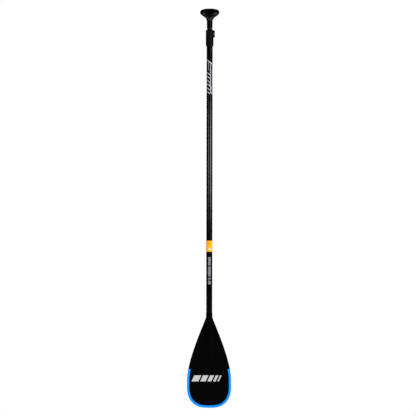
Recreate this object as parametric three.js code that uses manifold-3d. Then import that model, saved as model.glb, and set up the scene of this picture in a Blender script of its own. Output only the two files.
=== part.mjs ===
// Adjustable stand-up paddle with one blade: a palm grip on a sliding extension tube, a quick-release
// lever clamp, an upper and a lower shaft tube joined by a ferrule with a snap button, and a blade.
//
// Units are millimetres and +Z runs up the shaft. The origin is on the shaft's axis at the take-down
// joint, where the two shaft tubes meet. The blade hangs below it and leans towards -Y, its front.

import * as THREE from 'three';
import { mergeVertices } from 'three/addons/utils/BufferGeometryUtils.js';
import Module from 'manifold-3d';

const wasm = await Module();
wasm.setup();

// ---- Driving dimensions ----

const gap = 0.3; // clearance between pieces that touch
const sides = 40; // facets round a tube

const shaft = { radius: 14, bore: 12.7, top: 843 };
const inner = { radius: 12.4, bore: 10.9 }; // the extension tube and the ferrule slide in the shaft's bore
const groove = { halfWidth: 2, floor: 11.2, wall: 1.3 }; // down the back of the extension tube, against twist

const extension = { top: 854.7, bottom: 300 };
const grip = { neckEnd: 855, neckTop: 889, widest: 929, top: 947, flatHalfLength: 14, spigotEnd: 795 };

const collar = { bottom: 771, top: 848, radius: 18, slitBottom: 788, slitHalfWidth: 1.5 };
const ear = { inner: 13, outer: 23.4, face: 4.5, bottom: 814, top: 845 }; // the two ears beside the slit
const pivot = { x: 19.2, y: -10, z: 830.5 }; // the lever turns on the barrel's journals here
const barrel = { radius: 4.2, journal: 2.2, halfHeight: 4.5 };
const lever = { bottom: 813.5, top: 846, innerRadius: 18.6, outerRadius: 21.8, eye: 4.6, throwOffset: 0.6 };
const bolt = { radius: 2.2, headRadius: 4, washerRadius: 4.6 };

const ferrule = { bottom: -110, top: 90 };
const button = { z: -40, radius: 3.3, flange: 4.3, tip: 15.6 };

const band = { bottom: -176, top: -125.5, radius: 14.6 }; // coloured band round the lower tube
const neck = { radius: 15.1, sleeveTop: -458, sleeveTopRadius: 14.75 };

const blade = {
  top: -480, // height of the blade's upper end, where the lower tube stops
  length: 421,
  lean: THREE.MathUtils.degToRad(9), // forward lean of the blade against the shaft
  bend: 60, // length of neck over which the lean comes in
  plate: 2.4, // half-thickness of the flat part
  spine: 260, // length over which the round neck fades into the plate
  skin: 1,
};
const edgeGuard = { top: -719, width: 10.5, grooveFloor: 4.7 };

// ---- Solids ----

// Turn a three.js geometry into a solid with its faces pointing out.
function solid(geometry) {
  const bare = geometry.clone();
  bare.deleteAttribute('normal');
  bare.deleteAttribute('uv');
  const merged = mergeVertices(bare, 1e-4);
  const vertProperties = Float32Array.from(merged.attributes.position.array);
  const point = (i) => new THREE.Vector3().fromArray(vertProperties, 3 * i);
  const faces = [];
  let volume = 0;
  for (let i = 0; i < merged.index.count; i += 3) {
    const [a, b, c] = [0, 1, 2].map((k) => merged.index.getX(i + k));
    if (a === b || b === c || c === a) continue;
    faces.push([a, b, c]);
    volume += point(a).dot(point(b).cross(point(c)));
  }
  const triVerts = Uint32Array.from(faces.flatMap(([a, b, c]) => (volume > 0 ? [a, b, c] : [a, c, b])));
  return new wasm.Manifold(new wasm.Mesh({ numProp: 3, vertProperties, triVerts }));
}

function toGeometry(shape) {
  const { vertProperties, triVerts } = shape.getMesh();
  const geometry = new THREE.BufferGeometry();
  geometry.setAttribute('position', new THREE.BufferAttribute(vertProperties, 3));
  geometry.setIndex(new THREE.BufferAttribute(triVerts, 1));
  const faceted = geometry.toNonIndexed();
  faceted.computeVertexNormals();
  return faceted;
}

const join = (first, ...others) => others.reduce((sum, other) => sum.add(other), first);
const cut = (base, ...tools) => tools.reduce((rest, tool) => rest.subtract(tool), base);

// A profile of [radius, height] points turned about the Z axis.
function turned(profile, segments = sides) {
  const onAxis = profile[0][0] === 0 && profile.at(-1)[0] === 0;
  const loop = onAxis ? profile : [...profile, profile[0]];
  const points = loop.map(([radius, height]) => new THREE.Vector2(radius, height));
  return solid(new THREE.LatheGeometry(points, segments).rotateX(Math.PI / 2));
}

function rod(radius, bottom, top, segments = sides) {
  return turned([[0, bottom], [radius, bottom], [radius, top], [0, top]], segments);
}

function tube(radius, bore, bottom, top) {
  return turned([[bore, bottom], [radius, bottom], [radius, top], [bore, top]]);
}

// A rod that lies along Y, through the point (x, z).
function crossRod(radius, front, back, x, z, segments = 24) {
  const length = back - front;
  const geometry = new THREE.CylinderGeometry(radius, radius, length, segments);
  return solid(geometry.translate(x, front + length / 2, z));
}

function block(x, y, z) {
  const size = [x, y, z].map(([low, high]) => high - low);
  const middle = [x, y, z].map(([low, high]) => (low + high) / 2);
  return solid(new THREE.BoxGeometry(...size).translate(...middle));
}

// A flat shape in the XY plane, raised from one height to another.
function raised(shape, bottom, top, curveSegments = 24) {
  const settings = { depth: top - bottom, bevelEnabled: false, curveSegments };
  return solid(new THREE.ExtrudeGeometry(shape, settings).translate(0, 0, bottom));
}

// Closed rings of points, one above the other, skinned into a solid with flat ends.
function lofted(rings) {
  const count = rings[0].length;
  const positions = rings.flat(2);
  const middle = (ring) => [0, 1, 2].map((axis) => ring.reduce((sum, p) => sum + p[axis], 0) / count);
  positions.push(...middle(rings[0]), ...middle(rings.at(-1)));
  const lowPole = rings.length * count;
  const faces = [];
  for (let k = 0; k < count; k += 1) {
    const next = (k + 1) % count;
    faces.push(lowPole, next, k);
    const last = (rings.length - 1) * count;
    faces.push(lowPole + 1, last + k, last + next);
    for (let r = 0; r < rings.length - 1; r += 1) {
      const [a, b] = [r * count + k, r * count + next];
      faces.push(a, b, b + count, a, b + count, a + count);
    }
  }
  const geometry = new THREE.BufferGeometry();
  geometry.setAttribute('position', new THREE.Float32BufferAttribute(positions, 3));
  geometry.setIndex(faces);
  return solid(geometry);
}

// ---- Handle ----

// The strip that the anti-twist groove takes out of a round piece, widened by a clearance.
function grooveStrip(bottom, top, clearance = 0) {
  const halfWidth = groove.halfWidth + clearance;
  return block([-halfWidth, halfWidth], [groove.floor - clearance, 20], [bottom, top]);
}

// A palm grip: wide at the top, waisted to a round neck, with a spigot glued into the extension tube.
function palmGrip() {
  const waist = grip.neckTop;
  const outline = new THREE.CurvePath();
  const at = (x, z) => new THREE.Vector2(x, z);
  outline.add(new THREE.LineCurve(at(12.6, grip.neckEnd), at(13, grip.neckEnd + 5)));
  outline.add(new THREE.LineCurve(at(13, grip.neckEnd + 5), at(13.5, waist)));
  outline.add(new THREE.CubicBezierCurve(at(13.5, waist), at(14.3, waist + 22), at(44.4, waist + 22),
    at(44.4, grip.widest)));
  outline.add(new THREE.CubicBezierCurve(at(44.4, grip.widest), at(44.4, grip.widest + 9.6),
    at(36.5, grip.top - 3.6), at(26, grip.top - 2.4)));
  outline.add(new THREE.LineCurve(at(26, grip.top - 2.4), at(grip.flatHalfLength, grip.top)));
  const steps = [1, 1, 9, 5, 1];
  const heights = outline.curves.flatMap((curve, i) => curve.getPoints(steps[i]).slice(i ? 1 : 0));
  const depth = new THREE.SplineCurve([at(12.6, grip.neckEnd), at(13, grip.neckEnd + 5), at(13.5, waist),
    at(15.5, waist + 18), at(18, grip.widest - 4), at(15.5, grip.widest + 9), at(8, grip.top)]);
  const depthAt = (z) => {
    const samples = depth.getPoints(60);
    const above = Math.max(samples.findIndex((p) => p.y >= z), 1);
    const [low, high] = [samples[above - 1], samples[above]];
    return THREE.MathUtils.mapLinear(z, low.y, high.y, low.x, high.x);
  };
  const facets = 28;
  const ring = ({ x: halfWidth, y: z }) => Array.from({ length: facets }, (_, k) => {
    const angle = (2 * Math.PI * k) / facets;
    return [halfWidth * Math.cos(angle), depthAt(Math.min(z, grip.top - 0.01)) * Math.sin(angle), z];
  });
  const spigot = cut(rod(inner.bore - gap, grip.spigotEnd, grip.neckEnd + 5),
    grooveStrip(grip.spigotEnd - 1, grip.neckEnd, groove.wall + gap));
  return join(lofted(heights.map(ring)), spigot);
}

// A round tube with the groove pressed into its back, so that its wall keeps its thickness.
function extensionTube() {
  const { bottom, top } = extension;
  const bore = cut(rod(inner.bore, bottom - 1, top + 1), grooveStrip(bottom - 2, top + 2, groove.wall));
  return cut(rod(inner.radius, bottom, top), grooveStrip(bottom - 1, top + 1), bore);
}

// The plug that closes the extension tube's lower end and guides it in the upper tube.
function extensionEndPlug() {
  const end = extension.bottom;
  const stem = cut(rod(inner.bore - gap, end - gap - 2, end + 25),
    grooveStrip(end - 3, end + 26, groove.wall + gap));
  const flange = turned([[0, end - 14], [9, end - 14], [inner.radius, end - 10], [inner.radius, end - gap],
    [0, end - gap]]);
  return join(flange, stem);
}

// ---- Upper shaft and clamp ----

function slit(bottom, top) {
  return block([5, 30], [-collar.slitHalfWidth, collar.slitHalfWidth], [bottom, top]);
}

function upperTube() {
  return cut(tube(shaft.radius, shaft.bore, gap / 2, shaft.top), slit(collar.slitBottom, shaft.top + 1));
}

// A split sleeve with two ears, a lip over the tube's end, a key for the groove and a raised front pad.
function clampCollar() {
  const { bottom, top, radius } = collar;
  const bore = shaft.radius + gap;
  const lip = shaft.bore;
  const outside = [[radius - 3.2, bottom], [radius - 0.4, bottom + 5], [radius, bottom + 11],
    [radius, top - 1.5], [radius - 1.5, top]];
  const inside = [[lip, top], [lip, shaft.top + gap], [bore, shaft.top + gap], [bore, bottom]];
  const body = turned([...outside, ...inside]);
  const ears = block([ear.inner, ear.outer], [-ear.face, ear.face], [ear.bottom, ear.top]);
  const hollow = rod(bore, ear.bottom - 1, shaft.top + gap);
  const lipHole = rod(lip, shaft.top, top + 1);
  const key = block([-1.7, 1.7], [groove.floor + gap, lip + 1], [shaft.top + gap, top]);

  const padOutline = new THREE.Shape();
  padOutline.moveTo(9.7, collar.bottom + 36);
  padOutline.lineTo(-6.9, collar.bottom + 36);
  padOutline.lineTo(-6.9, collar.bottom + 10.5);
  padOutline.absarc(1.4, collar.bottom + 10.5, 8.3, Math.PI, 2 * Math.PI, false);
  padOutline.closePath();
  const padColumn = solid(new THREE.ExtrudeGeometry(padOutline, { depth: 14, bevelEnabled: false })
    .rotateX(Math.PI / 2).translate(0, -8, 0));
  const padRadius = radius + 0.7;
  const pad = padColumn.intersect(tube(padRadius, radius - 2, bottom, top - 30));

  const eyeRoom = rod(lever.eye + 1.4, ear.bottom - 2, top + 1).translate([pivot.x, pivot.y, 0]);
  const boltHole = crossRod(bolt.radius + gap, -12, 12, pivot.x, pivot.z);
  const spotFace = crossRod(bolt.washerRadius + gap, ear.face, 20, pivot.x, pivot.z);
  return cut(join(body, cut(ears, hollow, lipHole), key, pad), eyeRoom, boltHole, spotFace,
    slit(collar.slitBottom, top + 1));
}

// A cross barrel with a journal at each end for the lever and a threaded hole for the bolt.
function clampBarrel() {
  const { radius, journal, halfHeight } = barrel;
  const end = (lever.top - lever.bottom) / 2 - 0.6;
  const middle = (lever.top + lever.bottom) / 2 - pivot.z;
  const half = [[0, middle - end], [journal, middle - end], [journal, -halfHeight], [radius, -halfHeight],
    [radius, halfHeight], [journal, halfHeight], [journal, middle + end], [0, middle + end]];
  const body = turned(half, 28).translate([pivot.x, pivot.y, pivot.z]);
  return cut(body, crossRod(bolt.radius + gap, -20, 0, pivot.x, pivot.z));
}

// The bolt runs along Y from the barrel through both ears, with a socket head at the back.
function clampBolt() {
  const seat = ear.face + gap + 1 + gap;
  const head = crossRod(bolt.headRadius, seat, seat + 4, pivot.x, pivot.z, 28);
  const shank = crossRod(bolt.radius, pivot.y - barrel.radius + 0.4, seat + 1, pivot.x, pivot.z);
  const socket = crossRod(2, seat + 1.8, seat + 5, pivot.x, pivot.z, 6);
  return cut(join(head, shank), socket);
}

function clampWasher() {
  const seat = ear.face + gap;
  return cut(crossRod(bolt.washerRadius, seat, seat + 1, pivot.x, pivot.z, 28),
    crossRod(bolt.radius + gap, seat - 1, seat + 2, pivot.x, pivot.z));
}

// A forked cam lever that wraps round the front of the collar from its pivot to a finger ridge.
function clampLever() {
  const [start, end] = [-35, -133].map(THREE.MathUtils.degToRad);
  const wrap = new THREE.Shape();
  wrap.absarc(0, 0, lever.outerRadius, start, end, true);
  wrap.absarc(0, 0, lever.innerRadius, end, start, false);
  wrap.closePath();
  const ridgeRadius = 20.4;
  const ridge = rod(1.8, lever.bottom, lever.top, 16)
    .translate([ridgeRadius * Math.cos(end), ridgeRadius * Math.sin(end), 0]);
  const eye = rod(lever.eye, lever.bottom, lever.top).translate([pivot.x, pivot.y + lever.throwOffset, 0]);
  const journalHole = rod(barrel.journal + gap, lever.bottom - 1, lever.top + 1, 28)
    .translate([pivot.x, pivot.y, 0]);
  const forkReach = barrel.halfHeight + gap;
  const fork = rod(7.5, pivot.z - forkReach, pivot.z + forkReach).translate([pivot.x, pivot.y, 0]);
  return cut(join(raised(wrap, lever.bottom, lever.top), ridge, eye), journalHole, fork);
}

// ---- Take-down joint ----

// The round hole that the snap button comes out of, through the tubes' backs.
function buttonHole() {
  return crossRod(button.radius + gap, 5, 20, 0, button.z);
}

function jointFerrule() {
  return cut(tube(inner.radius, inner.bore, ferrule.bottom, ferrule.top), buttonHole());
}

function snapButton() {
  const { radius, flange, tip } = button;
  const profile = [[0, 8.5], [flange, 8.5], [flange, 9.5], [radius, 9.5], [radius, tip - 1.6],
    [2.4, tip - 0.5], [0, tip]];
  return turned(profile, 28).rotate([-90, 0, 0]).translate([0, 0, button.z]);
}

// A leaf spring bent to a V, whose back leg pushes the button out.
function snapSpring() {
  const leaf = [[8.2, -48], [8.2, -33], [1.8, 14], [-1.8, 14], [-9.9, -33], [-9.9, -48],
    [-9.3, -48], [-9.3, -33.2], [-1.3, 13.4], [1.3, 13.4], [7.6, -33.2], [7.6, -48]];
  const outline = new THREE.Shape(leaf.map(([y, z]) => new THREE.Vector2(y, z)));
  const strip = new THREE.ExtrudeGeometry(outline, { depth: 7, bevelEnabled: false });
  strip.rotateX(Math.PI / 2).rotateZ(Math.PI / 2).translate(-3.5, 0, 0);
  return solid(strip);
}

// ---- Lower shaft ----

function lowerTube() {
  return cut(tube(shaft.radius, shaft.bore, blade.top + gap, -gap / 2), buttonHole());
}

function neckSleeve() {
  const bore = shaft.radius + gap;
  const bottom = blade.top + gap;
  return turned([[bore, bottom], [neck.radius, bottom], [neck.sleeveTopRadius, neck.sleeveTop],
    [bore, neck.sleeveTop]]);
}

// ---- Blade ----

// The right-hand edge from above the neck down to the tip: half-width against height over the tip.
function bladeEdge() {
  const at = (x, h) => new THREE.Vector2(x, h);
  const { length } = blade;
  const curves = [
    [new THREE.LineCurve(at(neck.radius, length + 8), at(neck.radius, length)), 1],
    [new THREE.LineCurve(at(neck.radius, length), at(27, 390)), 4],
    [new THREE.CubicBezierCurve(at(27, 390), at(75, 274), at(102, 186), at(102, 124)), 7],
    [new THREE.CubicBezierCurve(at(102, 124), at(102, 90), at(108, 37), at(58, 10)), 6],
    [new THREE.CubicBezierCurve(at(58, 10), at(45, 3), at(33, 0), at(0, 0)), 4],
  ];
  return curves.flatMap(([curve, steps], i) => {
    const fractions = Array.from({ length: steps + 1 }, (_, k) => k / steps).slice(i ? 1 : 0);
    return fractions.map((f) => ({ point: curve.getPoint(f), tangent: curve.getTangent(f) }));
  });
}

// Where a point of the blade lies: x across, t behind its middle surface, h along it above the tip.
function bladePoint(x, t, h) {
  const below = blade.length - h;
  const bent = THREE.MathUtils.clamp(below, 0, blade.bend);
  const straight = below - bent;
  const turn = (blade.lean * bent) / blade.bend;
  const bendRadius = blade.bend / blade.lean;
  const y = -bendRadius * (1 - Math.cos(turn)) - straight * Math.sin(turn);
  const z = blade.top - bendRadius * Math.sin(turn) - straight * Math.cos(turn);
  return [x, y + t * Math.cos(turn), z - t * Math.sin(turn)];
}

const ramp = (s, reach) => THREE.MathUtils.smoothstep(s, 0, reach);
const mix = THREE.MathUtils.lerp;

// Half the blade's thickness on its centre line, at a distance below its upper end.
const crest = (below) => mix(neck.radius, blade.plate, ramp(below, blade.spine));

// How far the spine's raised part reaches to each side.
const spineReach = (below) => mix(neck.radius, 26, ramp(below, 120));

// Half the blade's thickness: a round neck that spreads into a flat plate with a fading spine.
function halfThickness(x, below) {
  const edge = mix(0.6, blade.plate, ramp(below, 30));
  const power = mix(0.5, 2, ramp(below, 120));
  const across = Math.min(Math.abs(x) / spineReach(below), 1);
  return edge + (crest(below) - edge) * (1 - across * across) ** power;
}

// Places from the centre line to the edge: closer together over the raised spine.
function acrossRow(halfWidth, below) {
  const spineEdge = Math.min(spineReach(below), 0.97 * halfWidth);
  return [0, 0.45, 0.75, 0.92, 1].map((f) => f * spineEdge).concat(mix(spineEdge, halfWidth, 0.5), halfWidth);
}

// A slab over the blade's outline, moved in by an inset, between a front and a back surface. Rows run
// from the centre line out to the edge, and fan out from above the tip.
function bladeSlab(inset, front, back, highest = Infinity) {
  const columns = 6;
  const fan = { height: 70, lift: 26 };
  const right = bladeEdge().filter(({ point }) => point.y <= highest).map(({ point, tangent }) => {
    const distance = inset(blade.length - point.y);
    return [Math.max(point.x + tangent.y * distance, 0), point.y - tangent.x * distance];
  });
  const left = right.slice(0, -1).reverse().map(([x, h]) => [-x, h]);
  const rows = [...right, ...left];
  const positions = rows.flatMap(([x, h]) => {
    const centre = h + fan.lift * Math.max(1 - h / fan.height, 0) ** 2;
    const halfWidth = Math.max(Math.abs(x), 1e-6);
    return acrossRow(halfWidth, blade.length - h).map((place) => {
      const out = place / halfWidth;
      const [px, ph] = [x * out, mix(centre, h, out)];
      const below = blade.length - ph;
      return [...bladePoint(px, front(px, below), ph), ...bladePoint(px, back(px, below), ph)];
    });
  }).flat();
  const vertex = (row, column, face) => 2 * (row * (columns + 1) + column) + face;
  const faces = [];
  const quad = (a, b, c, d) => faces.push(a, b, c, a, c, d);
  for (let row = 0; row < rows.length - 1; row += 1) {
    for (let i = 0; i < columns; i += 1) {
      quad(vertex(row, i, 0), vertex(row, i + 1, 0), vertex(row + 1, i + 1, 0), vertex(row + 1, i, 0));
      quad(vertex(row, i, 1), vertex(row + 1, i, 1), vertex(row + 1, i + 1, 1), vertex(row, i + 1, 1));
    }
    quad(vertex(row, columns, 0), vertex(row, columns, 1), vertex(row + 1, columns, 1),
      vertex(row + 1, columns, 0));
  }
  const last = rows.length - 1;
  for (let i = 0; i < columns; i += 1) {
    quad(vertex(0, i, 0), vertex(0, i, 1), vertex(0, i + 1, 1), vertex(0, i + 1, 0));
    quad(vertex(last, i, 1), vertex(last, i, 0), vertex(last, i + 1, 0), vertex(last, i + 1, 1));
  }
  const geometry = new THREE.BufferGeometry();
  geometry.setAttribute('position', new THREE.Float32BufferAttribute(positions, 3));
  geometry.setIndex(faces);
  return solid(geometry);
}

// The same thickness on both sides of the blade's middle surface.
function evenSlab(inset, thickness, highest) {
  return bladeSlab(inset, (x, s) => -thickness(x, s), (x, s) => thickness(x, s), highest);
}

const farAway = 200;
const aboveNeck = block([-farAway, farAway], [-farAway, farAway], [blade.top, blade.top + farAway]);
const belowGuardTop = (clearance) => block([-farAway, farAway], [-farAway, farAway],
  [blade.top - 2 * blade.length, edgeGuard.top + clearance]);

// The core stays a little inside the outline: thin at the neck, where the skins wrap round it.
function coreInset(clearance) {
  return (below) => Math.min(edgeGuard.grooveFloor, 1 + 0.1 * Math.max(below, 0)) + clearance;
}

const coreRoom = evenSlab(coreInset(0), (x, s) => Math.max(halfThickness(x, s) - blade.skin, 0.4));
const wholeBlade = cut(evenSlab(() => 0, halfThickness), aboveNeck);
const thickerThanBlade = () => 8; // for cutters round the flat plate, which start below plateTop
const plateTop = blade.length - 150;

// The tapered plug that joins the lower tube to the blade's core.
function neckPlug(clearance) {
  const [from, to, step] = [-70, 140, 15];
  const facets = 24;
  const rings = [];
  for (let below = from; below <= to; below += step) {
    const radius = Math.min(inner.radius, crest(below) - 2.7) + clearance;
    const depth = below === to ? below + clearance : below;
    rings.push(Array.from({ length: facets }, (_, k) => {
      const angle = (2 * Math.PI * k) / facets;
      return bladePoint(radius * Math.cos(angle), radius * Math.sin(angle), blade.length - depth);
    }));
  }
  return lofted(rings);
}

function bladeCore() {
  const core = evenSlab(coreInset(gap), (x, s) => Math.max(halfThickness(x, s) - blade.skin - gap, 0.1));
  return cut(core.intersect(coreRoom), aboveNeck, neckPlug(gap));
}

// Both skins in one: the blade without its core and without the strip that the edge guard takes up.
function bladeSkins() {
  const guardStrip = evenSlab(() => -3, thickerThanBlade, plateTop)
    .intersect(belowGuardTop(gap))
    .subtract(evenSlab(() => edgeGuard.width + gap, thickerThanBlade, plateTop));
  return cut(wholeBlade, coreRoom, guardStrip);
}

const pastSurface = 40; // further out than the blade's surface at any point

function frontSkin() {
  return cut(bladeSkins(), bladeSlab(() => -5, () => -gap / 2, () => pastSurface));
}

function backSkin() {
  return cut(bladeSkins(), bladeSlab(() => -5, () => -pastSurface, () => gap / 2));
}

// A strip of U section round the lower half of the blade, with a groove for the core's edge.
function edgeGuardStrip() {
  const within = evenSlab(() => edgeGuard.width, thickerThanBlade, plateTop);
  return cut(wholeBlade, within, coreRoom).intersect(belowGuardTop(0));
}

// ---- Assembly ----

function finish(color, roughness, metalness = 0) {
  return new THREE.MeshStandardMaterial({ color, roughness, metalness });
}

const gripRubber = finish(0x0b0b0d, 0.35);
const glossBlack = finish(0x0a0a0c, 0.28);
const clampPlastic = finish(0x101011, 0.5);
const steel = finish(0x8f8a80, 0.35, 0.9);
const matteBlack = finish(0x060607, 0.75);
const foam = finish(0xd8d6cf, 0.9);
const yellow = finish(0xfcbc04, 0.45);
const blue = finish(0x0496fa, 0.5);

const paddle = new THREE.Group();

function assembly(pieces) {
  const group = new THREE.Group();
  for (const [name, shape, material] of pieces) {
    const mesh = new THREE.Mesh(toGeometry(shape), material);
    mesh.name = name;
    group.add(mesh);
  }
  paddle.add(group);
}

assembly([
  ['palm_grip', palmGrip(), gripRubber],
  ['extension_tube', extensionTube(), glossBlack],
  ['extension_end_plug', extensionEndPlug(), clampPlastic],
]);

assembly([
  ['upper_tube', upperTube(), glossBlack],
  ['clamp_collar', clampCollar(), clampPlastic],
  ['clamp_barrel', clampBarrel(), steel],
  ['clamp_bolt', clampBolt(), steel],
  ['clamp_washer', clampWasher(), steel],
  ['joint_ferrule', jointFerrule(), glossBlack],
  ['snap_spring', snapSpring(), steel],
  ['ferrule_float_plug', rod(inner.bore - gap, 45, 75), foam],
]);

assembly([['clamp_lever', clampLever(), clampPlastic]]);

assembly([['snap_button', snapButton(), steel]]);

assembly([
  ['lower_tube', lowerTube(), glossBlack],
  ['coloured_band', tube(band.radius, shaft.radius + gap, band.bottom, band.top), yellow],
  ['lower_float_plug', rod(shaft.bore - gap, -170, -140), foam],
  ['neck_sleeve', neckSleeve(), matteBlack],
  ['neck_plug', neckPlug(0), matteBlack],
  ['blade_core', bladeCore(), foam],
  ['blade_front_skin', frontSkin(), matteBlack],
  ['blade_back_skin', backSkin(), matteBlack],
  ['blade_edge_guard', edgeGuardStrip(), blue],
]);

export default paddle;
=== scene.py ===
"""Looks for the adjustable stand-up paddle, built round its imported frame.

Every shape is worked out in millimetres in the row's frame (origin on the shaft's axis at the
take-down joint, +Z up the shaft, -Y the blade's front) and turned into metres when its mesh is made.
"""

import math

import bmesh
import bpy
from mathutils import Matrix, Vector


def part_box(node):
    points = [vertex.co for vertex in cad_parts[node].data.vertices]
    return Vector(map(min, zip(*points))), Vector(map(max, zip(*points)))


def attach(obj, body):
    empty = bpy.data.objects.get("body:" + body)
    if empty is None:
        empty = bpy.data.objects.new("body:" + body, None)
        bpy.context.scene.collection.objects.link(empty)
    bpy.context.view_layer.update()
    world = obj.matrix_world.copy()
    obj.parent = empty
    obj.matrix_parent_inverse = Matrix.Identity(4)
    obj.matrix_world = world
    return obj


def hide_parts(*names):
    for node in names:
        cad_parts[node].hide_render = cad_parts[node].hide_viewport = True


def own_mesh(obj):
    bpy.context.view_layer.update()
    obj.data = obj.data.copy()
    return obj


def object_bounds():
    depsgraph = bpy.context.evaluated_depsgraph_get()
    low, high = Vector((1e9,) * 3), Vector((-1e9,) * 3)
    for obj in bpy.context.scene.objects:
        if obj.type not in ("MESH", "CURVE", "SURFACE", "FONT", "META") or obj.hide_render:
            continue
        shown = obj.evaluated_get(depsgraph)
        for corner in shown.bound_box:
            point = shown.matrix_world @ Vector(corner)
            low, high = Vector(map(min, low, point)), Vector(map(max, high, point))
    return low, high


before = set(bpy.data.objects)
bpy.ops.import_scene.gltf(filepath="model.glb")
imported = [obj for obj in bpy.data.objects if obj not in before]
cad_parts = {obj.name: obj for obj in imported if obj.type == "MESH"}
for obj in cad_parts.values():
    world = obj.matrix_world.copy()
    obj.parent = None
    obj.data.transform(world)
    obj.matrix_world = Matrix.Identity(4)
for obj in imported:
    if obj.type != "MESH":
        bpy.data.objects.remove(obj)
cad_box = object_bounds()

MM = 0.001

# ---- Sizes, from the frame where a node's box gives them ----


def box_mm(node):
    """A node's lowest and highest corners, in millimetres."""
    low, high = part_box(node)
    return low / MM, high / MM


upper_low, upper_high = box_mm("upper_tube")
lower_low, lower_high = box_mm("lower_tube")
extension_low, extension_high = box_mm("extension_tube")
collar_low, collar_high = box_mm("clamp_collar")
lever_low, lever_high = box_mm("clamp_lever")
grip_low, grip_high = box_mm("palm_grip")
ferrule_low, ferrule_high = box_mm("joint_ferrule")
band_low, band_high = box_mm("coloured_band")
sleeve_high = box_mm("neck_sleeve")[1]
button_low, button_high = box_mm("snap_button")
guard_high = box_mm("blade_edge_guard")[1]

GAP = 0.3
SHARP = 0.01  # the least rounding, for cutting tools and for parts that are joined to a solid
SHAFT_RADIUS = upper_high.x
SHAFT_BORE = SHAFT_RADIUS - 1.3
INNER_RADIUS = extension_high.x
INNER_BORE = INNER_RADIUS - 1.5
GROOVE_FLOOR = 11.2
GROOVE_HALF_WIDTH = 2

COLLAR_RADIUS = 18
SLIT_BOTTOM, SLIT_HALF_WIDTH = 788, 1.5
EAR = {"inner": 6, "outer": collar_high.x, "face": 4.5, "bottom": 814, "top": 845}
PIVOT = Vector((19.2, -10, 830.5))
BARREL_RADIUS, JOURNAL_RADIUS, BARREL_HALF_HEIGHT = 4.2, 2.2, 4.5
EYE_RADIUS, THROW_OFFSET = 4.6, 0.6
LEVER_INNER, LEVER_OUTER = 18.6, 21.8
BOLT_RADIUS, BOLT_HEAD_RADIUS, WASHER_RADIUS = 2.2, 4, 4.6

BUTTON_Z, BUTTON_RADIUS = -40, 3.3

NECK_RADIUS = sleeve_high.x
BLADE_TOP = lower_low.z - GAP
BLADE_LENGTH = 421
BLADE_LEAN = math.radians(9)
BEND = 60
BEND_RADIUS = BEND / BLADE_LEAN
PLATE = 2.4
SPINE_LENGTH, SPINE_HALF_WIDTH = 260, 26
ROUND_NECK, SPREAD = 12, 120  # how far down the neck stays round, and where its spine is fully spread
SKIN = 1
SEAM = 0.04  # how far a skin stays off the blade's middle surface, and the sleeve off its top
GUARD_WIDTH, GUARD_GROOVE = 10.5, 4.7


# ---- Making meshes ----


def smoothed(obj, sharp_angle=35):
    """Smooth shading, with the edges that are sharper than an angle kept crisp."""
    obj.data.shade_smooth()
    obj.data.set_sharp_from_angle(angle=math.radians(sharp_angle))
    return obj


def trued(obj):
    """Smooth shading in which long flat faces keep their own direction up to their rounded edges."""
    smoothed(obj)
    step = obj.modifiers.new("normals", "WEIGHTED_NORMAL")
    step.keep_sharp = True
    step.weight = 100
    return obj


def make_object(name, points, faces):
    """An object from points in millimetres, with its faces turned outwards."""
    mesh = bpy.data.meshes.new(name)
    mesh.from_pydata([Vector(p) * MM for p in points], [], faces)
    build = bmesh.new()
    build.from_mesh(mesh)
    bmesh.ops.recalc_face_normals(build, faces=build.faces)
    build.to_mesh(mesh)
    build.free()
    obj = bpy.data.objects.new(name, mesh)
    bpy.context.scene.collection.objects.link(obj)
    return smoothed(obj)


def rounded_profile(corners, radius, steps=3):
    """A closed outline with each corner replaced by a small curve."""
    outline = []
    for i, corner in enumerate(corners):
        here = Vector(corner)
        before = Vector(corners[i - 1]) - here
        after = Vector(corners[(i + 1) % len(corners)]) - here
        reach = min(radius, 0.45 * before.length, 0.45 * after.length)
        start, end = here + before.normalized() * reach, here + after.normalized() * reach
        for k in range(steps + 1):
            f = k / steps
            outline.append(start * (1 - f) ** 2 + here * 2 * f * (1 - f) + end * f**2)
    return outline


def lathe(name, corners, radius=0.3, segments=96):
    """A closed (radius, height) outline turned about Z, with its corners rounded."""
    outline = rounded_profile(corners, radius)
    count = len(outline)
    points = []
    for k in range(segments):
        angle = 2 * math.pi * k / segments
        points += [(p.x * math.cos(angle), p.x * math.sin(angle), p.y) for p in outline]
    faces = []
    for k in range(segments):
        a, b = k * count, (k + 1) % segments * count
        faces += [(a + i, a + (i + 1) % count, b + (i + 1) % count, b + i) for i in range(count)]
    return make_object(name, points, faces)


def tube(name, outer, bore, bottom, top, radius=0.4):
    return lathe(name, [(bore, bottom), (outer, bottom), (outer, top), (bore, top)], radius)


def rod(name, radius, bottom, top, rounding=0.3, segments=96):
    """A solid round bar: a lofted pile of rings, so that it has no hole on its axis."""
    heights = [(bottom, radius - rounding), (bottom + rounding, radius), (top - rounding, radius),
               (top, radius - rounding)]
    return loft(name, [ring(r, r, z, segments) for z, r in heights])


def ring(half_width, half_depth, z, segments, centre=(0, 0)):
    angles = [2 * math.pi * k / segments for k in range(segments)]
    return [(centre[0] + half_width * math.cos(a), centre[1] + half_depth * math.sin(a), z) for a in angles]


def loft(name, rings):
    """Closed rings of points, one above the other, skinned with flat ends."""
    count = len(rings[0])
    points = [p for one in rings for p in one]
    faces = []
    for r in range(len(rings) - 1):
        for k in range(count):
            a, b = r * count + k, r * count + (k + 1) % count
            faces.append((a, b, b + count, a + count))
    faces.append(tuple(range(count)))
    faces.append(tuple(range((len(rings) - 1) * count, len(rings) * count)))
    return make_object(name, points, faces)


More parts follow.
